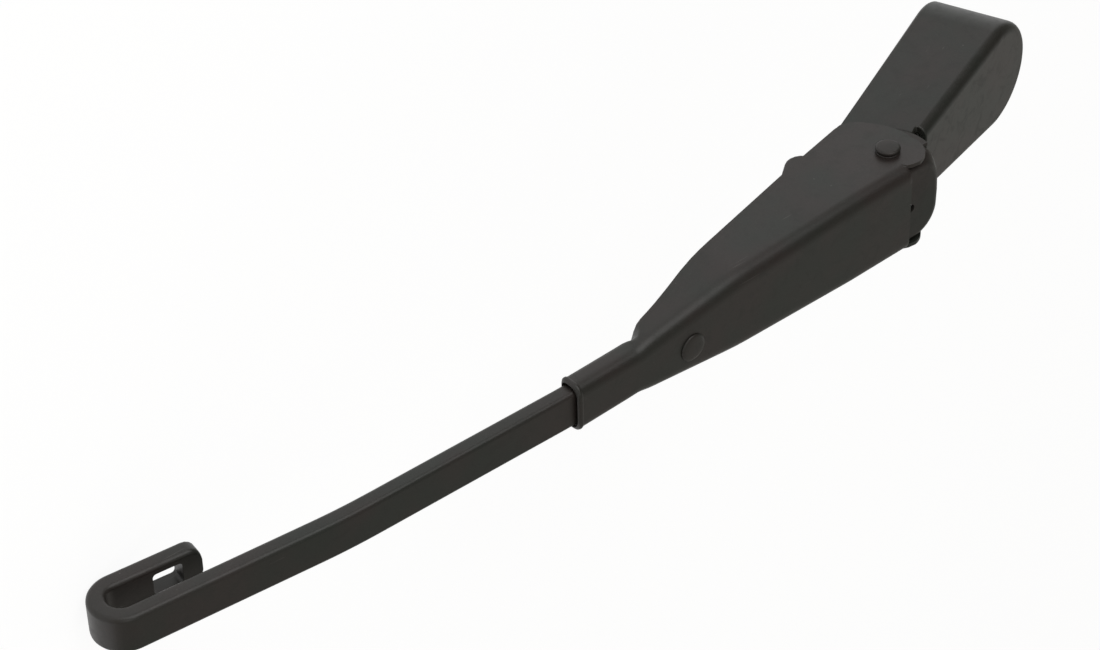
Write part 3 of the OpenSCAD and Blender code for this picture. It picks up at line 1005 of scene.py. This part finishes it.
def lofted(name: str, sections: list[list[Vector]], closed: bool = True) -> bpy.types.Object:
    """Makes a skin through a row of sections, each drawn as a wire and bridged to the one before it.

    Args:
        name: the new piece's name.
        sections: the wires, each with as many points.
        closed: whether each wire is a ring, whose first and last are then filled with a face.

    Returns:
        The new piece, whose faces point outwards.
    """
    bpy.ops.object.select_all(action="DESELECT")
    bpy.ops.mesh.primitive_plane_add(size=SEED_SIZE)
    piece = bpy.context.object
    piece.name = name
    bpy.ops.object.mode_set(mode="EDIT")
    bpy.ops.mesh.select_all(action="SELECT")
    bpy.ops.mesh.delete(type="VERT")
    bpy.ops.mesh.select_mode(type="VERT")
    for points in sections:
        trace(points, closed)
    count = len(sections[0])
    last = len(sections) - 1
    for row in range(last):
        edge_picker(piece, lambda edge: rows_of(edge, count) in ({row}, {row + 1}))
        bpy.ops.mesh.bridge_edge_loops()
    for row in (0, last) if closed else ():
        edge_picker(piece, lambda edge: rows_of(edge, count) == {row})
        bpy.ops.mesh.edge_face_add()
    bpy.ops.mesh.select_all(action="SELECT")
    bpy.ops.mesh.normals_make_consistent(inside=False)
    bpy.ops.object.mode_set(mode="OBJECT")
    return piece


def thickened(piece: bpy.types.Object, wall: float) -> None:
    """Gives a skin its sheet thickness, inwards.

    Args:
        piece: the skin.
        wall: the sheet's thickness.
    """
    pick(piece)
    sheet = piece.modifiers.new("sheet", "SOLIDIFY")
    sheet.thickness = wall
    sheet.offset = -1.0
    sheet.use_even_offset = True
    bpy.ops.object.modifier_apply(modifier=sheet.name)


def cut(piece: bpy.types.Object, tool: bpy.types.Object, operation: str = "DIFFERENCE") -> None:
    """Takes a tool's form out of a piece, or welds it on, and deletes the tool.

    Args:
        piece: the piece that is worked on.
        tool: the form, which is used up.
        operation: DIFFERENCE to cut or UNION to weld.
    """
    pick(piece)
    hole = piece.modifiers.new("hole", "BOOLEAN")
    hole.operation = operation
    hole.solver = "EXACT"
    hole.object = tool
    bpy.ops.object.modifier_apply(modifier=hole.name)
    bpy.data.objects.remove(tool)


def bored(piece: bpy.types.Object, radius: float, depth: float, facets: int, place: Vector | None = None,
          turn: tuple = (0.0, 0.0, 0.0)) -> None:
    """Bores a round hole through a piece.

    Args:
        piece: the piece that is worked on.
        radius: the hole's radius.
        depth: the length of the tool.
        facets: how many sides it has.
        place: the middle of the tool.
        turn: the tool's turn from +Z, in radians.
    """
    bpy.ops.mesh.primitive_cylinder_add(vertices=facets, radius=radius, depth=depth,
                                        location=place or Vector(), rotation=turn)
    cut(piece, bpy.context.object)


def tied(pieces: list[bpy.types.Object]) -> bpy.types.Object:
    """Joins pieces into one.

    Args:
        pieces: the pieces to join.

    Returns:
        The first of them, which holds them all.
    """
    pick(pieces[0])
    for piece in pieces:
        piece.select_set(True)
    bpy.ops.object.join()
    return pieces[0]


def hung(piece: bpy.types.Object, turn: float, place: Vector) -> None:
    """Turns a finished piece about Y, moves it to its place and applies both.

    Args:
        piece: the piece, made round the hinge's axis.
        turn: its turn, in degrees.
        place: where that axis lies.
    """
    piece.rotation_euler = (0.0, math.radians(turn), 0.0)
    piece.location = place
    pick(piece)
    bpy.ops.object.transform_apply(location=True, rotation=True, scale=True)


@dataclass
class ArmFrame:
    """Where the free arm hangs: the hinge pin, the droop below the head and the web's slope, sizes in mm."""

    pin: Vector = field(default_factory=HINGE.copy)
    droop: float = 22.5
    web_slope: float = 2.66
    web_at_pin: float = 8.25

    def top(self, along: float) -> float:
        """Height of the web's outer face at a distance from the pin."""
        return self.web_at_pin + along * math.tan(math.radians(self.web_slope))


@dataclass
class ChannelPressing:
    """The pressed channel: web, side walls, ears and the collar folded round the strip, sizes in mm."""

    frame: ArmFrame = field(default_factory=ArmFrame)
    sheet: float = 1.2
    ear_half: float = 11.5
    ear_sheet: float = 0.95
    ear_tip: tuple = ((0.95, 4.2), (0.95, 5.5), (0.45, 6.4), (-0.9, 6.95))
    ear_middle: tuple = (-1.9, 1.4)
    ear_radius: float = 5.83
    ear_span: tuple = (99.0, 195.0, 28)
    ear_back: tuple = ((-7.68, -1.6), (-7.45, -3.6), (-6.9, -5.7), (-6.0, -7.8), (-4.9, -9.5))
    heel: tuple = (1.8, -7.5)
    heel_radius: float = 6.6
    heel_span: tuple = (208.0, 266.0, 16)
    ear_foot: tuple = ((3.0, -13.7), (3.0, -9.0), (0.95, 0.0))
    fold_radius: float = 1.5
    fold_step: float = 30.0
    flat_step: float = 0.1
    lip_gap: float = 0.6
    wall_share: float = 0.8
    web_share: float = 0.92
    bend_steps: int = 8
    edge_round: float = 0.2
    half: tuple = ((0.0, 11.5), (3.2, 11.5), (18.0, 11.45), (50.0, 10.22), (53.0, 10.02), (56.0, 9.66),
                   (76.5, 6.9), (79.0, 6.42), (80.4, 6.02), (81.6, 5.82), (84.5, 5.8), (120.0, 5.85))
    bend: tuple = ((0.0, 3.3), (53.0, 3.4), (76.0, 3.0), (84.0, 2.5), (120.0, 2.4))
    low: tuple = ((0.0, -14.1), (2.6, -13.9), (53.0, -2.2), (58.0, -1.0), (63.3, 0.9), (67.9, 2.5),
                  (71.9, 3.7), (75.9, 4.7), (78.3, 5.5), (80.0, 6.1), (82.0, 6.16), (120.0, 7.92))
    curl: tuple = ((75.0, 0.0), (76.5, 14.0), (77.6, 32.0), (78.7, 54.0), (79.8, 74.0), (80.8, 86.0),
                   (81.6, 90.0))
    stations: tuple = (0.35, 1.1, 3.2, 9.0, 18.0, 29.0, 40.0, 47.0, 50.0, 51.5, 53.0, 54.5, 56.0, 60.0,
                       65.0, 70.0, 73.0, 75.0, 76.5, 77.6, 78.7, 79.8, 80.8, 81.6, 84.5, 90.0, 97.4,
                       97.6, 97.9, 98.3, 98.55, 98.75)
    bead: tuple = ((97.4, 0.0), (97.6, 0.12), (97.9, 0.18), (98.3, 0.1), (98.55, -0.12), (98.75, -0.45))

    def half_section(self, along: float) -> list[tuple[float, float]]:
        """Draws half of the section at one station, from the lip or the open edge to the web's middle.

        Args:
            along: the distance from the pin.

        Returns:
            Points across and up, for the side with positive Y.
        """
        top = self.frame.top(along)
        swell = between(self.bead, along) if along > self.bead[0][0] else 0.0
        half = between(self.half, along) + swell
        top += swell
        bend = between(self.bend, along)
        turn = between(self.curl, along)
        share = turn / 90.0
        low = between(self.low, along) - swell
        flat = self.flat_step * (1.0 - share)
        step = flat + self.fold_radius * math.radians(self.fold_step) * share
        lip = flat + (half - self.fold_radius - self.lip_gap) * share
        runs = [(step, -90.0 - turn * part / 6.0) for part in (1.0, 3.0, 5.0)] + [(lip, -90.0 - turn)]
        moves = [(length * math.cos(math.radians(aim)), length * math.sin(math.radians(aim)))
                 for length, aim in runs]
        start = low - sum(drop for _, drop in moves)
        points = [(half, start)]
        for across, drop in moves:
            points.insert(0, (points[0][0] + across, points[0][1] + drop))
        wall_top = top - bend
        points.append((half, start + (wall_top - start) * self.wall_share))
        points += arc_points((half - bend, wall_top), bend, 0.0, 90.0, self.bend_steps)
        points += [((half - bend) * self.web_share, top), (0.0, top)]
        return points

    def section(self, along: float) -> list[Vector]:
        """Draws the whole section at one station, from side to side.

        Args:
            along: the distance from the pin.

        Returns:
            The section's points.
        """
        side = self.half_section(along)
        across = [(-left, up) for left, up in side] + side[-2::-1]
        return [Vector((along, sideways, up)) * MM for sideways, up in across]

    def ear(self, side: float) -> bpy.types.Object:
        """Makes the flat round ear beside the hinge, one sheet thick.

        Args:
            side: the sign of its Y.

        Returns:
            The ear.
        """
        outline = [*self.ear_tip, *arc_points(self.ear_middle, self.ear_radius, *self.ear_span)]
        outline += [*self.ear_back, *arc_points(self.heel, self.heel_radius, *self.heel_span)]
        outline += self.ear_foot
        faces = [[Vector((along, side * level, up)) * MM for along, up in outline]
                 for level in (self.ear_half, self.ear_half - self.ear_sheet)]
        return lofted("ear", faces)

    def build(self) -> bpy.types.Object:
        """Makes the channel.

        Returns:
            The finished shape, hung on the hinge.
        """
        piece = lofted("pressed_channel", [self.section(along) for along in self.stations], closed=False)
        thickened(piece, self.sheet * MM)
        for side in (-1.0, 1.0):
            cut(piece, self.ear(side), "UNION")
        apply_bevel(piece, self.edge_round * MM, 2, SHEET_EDGE)
        smooth(piece, SHEET_CREASE)
        hung(piece, self.frame.droop, self.frame.pin)
        return piece


@dataclass
class HoodPressing:
    """The hood nested under the web, a deep drawn cap with two flat flanges, sizes in mm."""

    frame: ArmFrame = field(default_factory=ArmFrame)
    wall: float = 0.85
    front: float = 4.0
    front_share: float = 0.2
    half: float = 10.2
    crown: float = 0.12
    levels: tuple = ((0.8, 10.1, 3.0, 0.0), (2.6, 10.1, 3.0, 0.0), (4.0, 10.0, 3.2, 0.0),
                     (5.0, 9.9, 4.6, 0.0), (5.7, 9.75, 5.9, 0.1), (6.25, 9.55, 6.4, 0.3),
                     (6.62, 9.25, 6.3, 0.6), (6.83, 8.7, 6.1, 1.0), (6.92, 8.1, 5.8, 1.5))
    flange_radius: float = 10.35
    flange_span: tuple = (166.0, 256.0, 24)
    flange_front: tuple = ((0.0, 0.0), (0.0, 1.4))
    flange_play: float = 0.02
    vent: tuple = (-0.8, 0.9, 7.0)
    vent_radius: float = 1.05
    vent_depth: float = 9.0
    vent_facets: int = 32
    hub_room: float = 5.65
    hub_depth: float = 60.0
    hub_facets: int = 48
    corner_steps: int = 10
    edge_round: float = 0.14

    def rim(self, level: tuple) -> list[Vector]:
        """Draws the cap's outline at one height.

        Args:
            level: height, reach behind the pin, corner radius and inset of the sides.

        Returns:
            The outline from the front of one side round the back to the other.
        """
        up, back, corner, inset = level
        side = self.half - inset
        middle = corner - back
        plan = [(self.front, -side), (self.front * self.front_share, -side)]
        plan += arc_points((middle, corner - side), corner, 270.0, 180.0, self.corner_steps)
        plan += [(-back - self.crown, 0.0)]
        plan += arc_points((middle, side - corner), corner, 180.0, 90.0, self.corner_steps)
        plan += [(self.front * self.front_share, side), (self.front, side)]
        return [Vector((along, across, up)) * MM for along, across in plan]

    def flange(self, side: float) -> bpy.types.Object:
        """Makes one flat side flange, round the pin.

        Args:
            side: the sign of its Y.

        Returns:
            The flange.
        """
        outline = arc_points((0.0, 0.0), self.flange_radius, *self.flange_span)
        outline += self.flange_front
        faces = [[Vector((along, side * level, up)) * MM for along, up in outline]
                 for level in (self.half - self.flange_play, self.half - self.wall + self.flange_play)]
        return lofted("flange", faces)

    def build(self) -> bpy.types.Object:
        """Makes the hood.

        Returns:
            The finished shape, hung on the hinge.
        """
        piece = lofted("pressed_hood", [self.rim(level) for level in self.levels], closed=False)
        pick(piece)
        bpy.ops.object.mode_set(mode="EDIT")
        highest = (self.levels[-1][0] - 0.01) * MM
        edge_picker(piece, lambda edge: min(corner.co.z for corner in edge.verts) > highest)
        bpy.ops.mesh.edge_face_add()
        bpy.ops.mesh.select_all(action="SELECT")
        bpy.ops.mesh.normals_make_consistent(inside=False)
        bpy.ops.object.mode_set(mode="OBJECT")
        thickened(piece, self.wall * MM)
        spot = Vector(self.vent) * MM
        bored(piece, self.vent_radius * MM, self.vent_depth * MM, self.vent_facets, spot)
        across = (math.radians(90.0), 0.0, 0.0)
        pieces = [piece, self.flange(-1.0), self.flange(1.0)]
        for part in pieces:
            bored(part, self.hub_room * MM, self.hub_depth * MM, self.hub_facets, turn=across)
        piece = tied(pieces)
        apply_bevel(piece, self.edge_round * MM, 2, SHEET_EDGE)
        smooth(piece, SHEET_CREASE)
        hung(piece, self.frame.droop - self.frame.web_slope, self.frame.pin)
        return piece


@dataclass
class HookStrip:
    """The drawn flat strip with its gentle bend, its J hook and the slot in the returned leg, sizes in mm."""

    frame: ArmFrame = field(default_factory=ArmFrame)
    width: float = 9.0
    thick: float = 4.0
    edge_round: float = 1.05
    edge_steps: int = 4
    sheet_above: float = 1.2
    play: float = 0.05
    start: float = 56.0
    collar_end: float = 98.9
    exit_run: float = 3.0
    exit_steps: int = 4
    bend_at: float = 156.0
    bend_run: float = 14.0
    bend_steps: int = 10
    bend_angle: float = 4.8
    hook_reach: float = 209.66
    hook_gap: float = 6.2
    hook_turn: float = 181.0
    hook_steps: int = 40
    leg: float = 19.1
    leg_round: float = 2.7
    round_angles: tuple = (20.0, 40.0, 58.0, 74.0, 86.0)
    slot_length: float = 6.5
    slot_width: float = 5.2
    slot_inset: float = 4.4
    slot_corner: float = 0.8
    slot_steps: int = 4
    slot_depth: float = 12.0
    eye: float = 2.6
    eye_inset: float = 3.6
    rivet_at: float = 67.0
    rivet_hole: float = 4.06
    hole_depth: float = 30.0
    hole_facets: int = 40
    rim_round: float = 0.22
    crease: float = 35.0

    def legs(self) -> list[tuple[float, float, int]]:
        """Lists the strip's runs.

        Returns:
            A length, a turn in degrees and a number of steps for each run.
        """
        slope = math.radians(self.frame.web_slope)
        bend = math.radians(self.bend_angle)
        hook = self.hook_gap / 2 + self.thick / 2
        bend_end = self.bend_at + self.bend_run / 2
        run = (self.hook_reach - hook - self.thick / 2 + hook * math.sin(bend) - bend_end) / math.cos(bend)
        return [((self.collar_end - self.start) / math.cos(slope), 0.0, 1),
                (self.exit_run, -self.frame.web_slope, self.exit_steps),
                (self.bend_at - self.collar_end - self.exit_run - self.bend_run / 2, 0.0, 1),
                (self.bend_run, -self.bend_angle, self.bend_steps),
                (run, 0.0, 1),
                (hook * math.pi, -self.hook_turn, self.hook_steps),
                (self.leg - self.leg_round, 0.0, 1)]

    def path(self) -> list[tuple[float, float, float]]:
        """Walks along the strip's middle.

        Returns:
            Along, up and heading at each station.
        """
        along = self.start
        up = self.frame.top(self.start) - self.sheet_above - self.play - self.thick / 2
        heading = self.frame.web_slope
        stations = [(along, up, heading)]
        for length, turn, steps in self.legs():
            for _ in range(steps):
                middle = math.radians(heading + turn / steps / 2)
                along += length / steps * math.cos(middle)
                up += length / steps * math.sin(middle)
                heading += turn / steps
                stations.append((along, up, heading))
        return stations

    def ring(self, station: tuple[float, float, float], narrow: float = 0.0,
             onward: float = 0.0) -> list[Vector]:
        """Draws the section at one station.

        Args:
            station: along, up and heading.
            narrow: how much narrower each side is.
            onward: how far past the station it lies.

        Returns:
            The ring of points.
        """
        along, up, heading = station
        aim = math.radians(heading)
        along += onward * math.cos(aim)
        up += onward * math.sin(aim)
        wide = self.width / 2 - narrow
        high = self.thick / 2
        rounding = self.edge_round
        flat = []
        for quarter, (side, level) in enumerate(((1, 1), (-1, 1), (-1, -1), (1, -1))):
            middle = (side * (wide - rounding), level * (high - rounding))
            flat += arc_points(middle, rounding, quarter * 90.0, quarter * 90.0 + 90.0, self.edge_steps)
        return [Vector((along - level * math.sin(aim), across, up + level * math.cos(aim))) * MM
                for across, level in flat]

    def slot_tool(self, end: tuple[float, float, float]) -> bpy.types.Object:
        """Makes the form of the slot, with rounded corners, across the returned leg.

        Args:
            end: the last station of the path.

        Returns:
            The tool.
        """
        along, up, heading = end
        aim = math.radians(heading)
        reach = self.leg_round - self.slot_inset - self.slot_length / 2
        middle = Vector((along + reach * math.cos(aim), 0.0, up + reach * math.sin(aim))) * MM
        size = Vector((self.slot_length, self.slot_width, self.slot_depth)) * MM
        bpy.ops.mesh.primitive_cube_add(size=1.0, location=middle, rotation=(0.0, -aim, 0.0), scale=size)
        tool = bpy.context.object
        bpy.ops.object.transform_apply(location=False, rotation=False, scale=True)
        bpy.ops.object.mode_set(mode="EDIT")
        half = self.slot_depth / 2 * MM
        edge_picker(tool, lambda edge: abs(edge.verts[0].co.z - edge.verts[1].co.z) > half)
        bpy.ops.mesh.bevel(offset=self.slot_corner * MM, segments=self.slot_steps)
        bpy.ops.object.mode_set(mode="OBJECT")
        return tool

    def build(self) -> bpy.types.Object:
        """Makes the strip.

        Returns:
            The finished shape, hung on the hinge.
        """
        stations = self.path()
        rings = [self.ring(station) for station in stations]
        for turn in (math.radians(angle) for angle in self.round_angles):
            narrow = self.leg_round * (1 - math.cos(turn))
            rings.append(self.ring(stations[-1], narrow, self.leg_round * math.sin(turn)))
        piece = lofted("drawn_strip", rings)
        cut(piece, self.slot_tool(stations[-1]))
        slope = math.radians(-self.frame.web_slope)
        for place, across in ((self.rivet_at, self.rivet_hole), (self.start + self.eye_inset, self.eye)):
            spot = Vector((place * math.cos(slope), 0.0, -place * math.sin(slope))) * MM
            bored(piece, across / 2 * MM, self.hole_depth * MM, self.hole_facets, spot, (0.0, slope, 0.0))
        apply_bevel(piece, self.rim_round * MM, 2, SHEET_EDGE)
        smooth(piece, self.crease)
        hung(piece, self.frame.droop, self.frame.pin)
        return piece


@dataclass
class Fasteners:
    """The rivet that holds the strip and the pin that carries the arm, sizes in mm."""

    frame: ArmFrame = field(default_factory=ArmFrame)
    facets: int = 40
    crease: float = 48.0
    rivet_at: tuple = (67.0, 0.9)
    rivet_rings: tuple = ((0.1, -6.6), (1.7, -6.55), (2.0, -6.3), (3.0, -6.1), (3.0, -5.26), (2.0, -5.24),
                          (2.0, -0.05), (3.1, 0.0), (3.25, 0.08), (3.25, 0.26), (3.1, 0.42), (2.5, 0.56),
                          (1.5, 0.64), (0.1, 0.66))
    pin_end: tuple = ((2.25, 11.5), (2.76, 11.52), (2.76, 11.8), (2.68, 11.9), (2.42, 11.95), (2.42, 12.1),
                      (2.7, 12.18), (2.8, 12.3), (2.78, 12.68), (2.58, 12.9), (2.2, 13.0), (0.1, 13.02))

    def turned(self, name: str, rings: tuple) -> bpy.types.Object:
        """Makes a round piece along Z.

        Args:
            name: the new piece's name.
            rings: pairs of a radius and a height.

        Returns:
            The new piece.
        """
        last_angle = 360.0 - 360.0 / self.facets
        sections = [[Vector((across, along, up)) * MM
                     for across, along in arc_points((0.0, 0.0), radius, 0.0, last_angle, self.facets - 1)]
                    for radius, up in rings]
        piece = lofted(name, sections)
        smooth(piece, self.crease)
        return piece

    def rivet(self) -> bpy.types.Object:
        """Makes the rivet with its low upset head.

        Returns:
            The finished shape, hung on the hinge.
        """
        piece = self.turned("domed_rivet", self.rivet_rings)
        slope = math.radians(self.frame.web_slope)
        level = self.frame.web_at_pin * math.cos(slope)
        piece.location = Vector((*self.rivet_at, level)) * MM
        pick(piece)
        bpy.ops.object.transform_apply(location=True, rotation=True, scale=True)
        hung(piece, self.frame.droop - self.frame.web_slope, self.frame.pin)
        return piece

    def pin(self) -> bpy.types.Object:
        """Makes the hinge pin with its two upset heads.

        Returns:
            The finished shape, hung on the hinge.
        """
        far_end = tuple((radius, -up) for radius, up in self.pin_end[::-1])
        piece = self.turned("upset_pin", far_end + self.pin_end)
        piece.rotation_euler = (math.radians(90.0), 0.0, 0.0)
        pick(piece)
        bpy.ops.object.transform_apply(location=True, rotation=True, scale=True)
        hung(piece, self.frame.droop, self.frame.pin)
        return piece


@dataclass
class ArmGroup:
    """The pressed channel, its hood, rivet and pin, the hook strip and the spring."""

    channel: ChannelPressing = field(default_factory=ChannelPressing)
    hood: HoodPressing = field(default_factory=HoodPressing)
    strip: HookStrip = field(default_factory=HookStrip)
    fasteners: Fasteners = field(default_factory=Fasteners)

    def spring(self, finish: bpy.types.Material) -> None:
        """Rounds the spring's wire.

        Args:
            finish: the spring's steel.
        """
        piece = softened("tension_spring", "coiled_spring", 0.0, rounds=1)
        dress(piece, finish)
        seat(piece, Body.ARM, "spring_steel", "tension_spring")

    def build(self, finishes: dict[str, bpy.types.Material]) -> None:
        """Builds and dresses the arm's pieces.

        Args:
            finishes: every material by its name.
        """
        for make, node, finish in ((self.channel.build, "channel", "channel_coat"),
                                   (self.hood.build, "hinge_hood", "hood_coat"),
                                   (self.strip.build, "hook_strip", "strip_coat"),
                                   (self.fasteners.rivet, "strip_rivet", "rivet_coat"),
                                   (self.fasteners.pin, "hinge_pin", "pin_coat")):
            piece = make()
            dress(piece, finishes[finish])
            seat(piece, Body.ARM, "black_paint", node)
        self.spring(finishes["spring_steel"])


FINISHES = (
    BlackCoat("head_coat", Lay.ALONG_HEAD, dust=0.5, marks=0.7, offset=0.31),
    BlackCoat("channel_coat", Lay.ALONG_STRIP, dust=0.8, marks=0.5, offset=0.0),
    BlackCoat("hood_coat", Lay.ALONG_STRIP, dust=0.4, marks=0.5, offset=0.17, shine=0.30),
    BlackCoat("strip_coat", Lay.ALONG_STRIP, dust=0.5, marks=0.8, offset=0.53),
    BlackCoat("rivet_coat", Lay.ALONG_STRIP, dust=0.5, marks=0.4, offset=0.71),
    BlackCoat("pin_coat", Lay.ROUND_PIN, dust=0.5, marks=0.4, offset=0.83, shine=0.33),
    BareMetal("turned_steel", (0.56, 0.55, 0.53), (0.30, 0.27, 0.23), 0.3, Lay.ROUND_PIN),
    BareMetal("spring_steel", (0.38, 0.38, 0.38), (0.16, 0.14, 0.12), 0.33, Lay.ALONG_STRIP),
    BareMetal("bush_brass", (0.72, 0.55, 0.27), (0.38, 0.26, 0.12), 0.28, Lay.ROUND_PIN),
    NaturalNylon())


def main() -> None:
    """Builds the scene in order and reports each piece."""
    effects = Effects()
    finishes = {finish.name: finish.build(effects) for finish in FINISHES}
    Studio().build()
    HeadGroup().build(finishes)
    ArmGroup().build(finishes)


if __name__ == "__main__":
    logging.basicConfig(level=logging.INFO, format="%(name)s %(message)s")
    main()
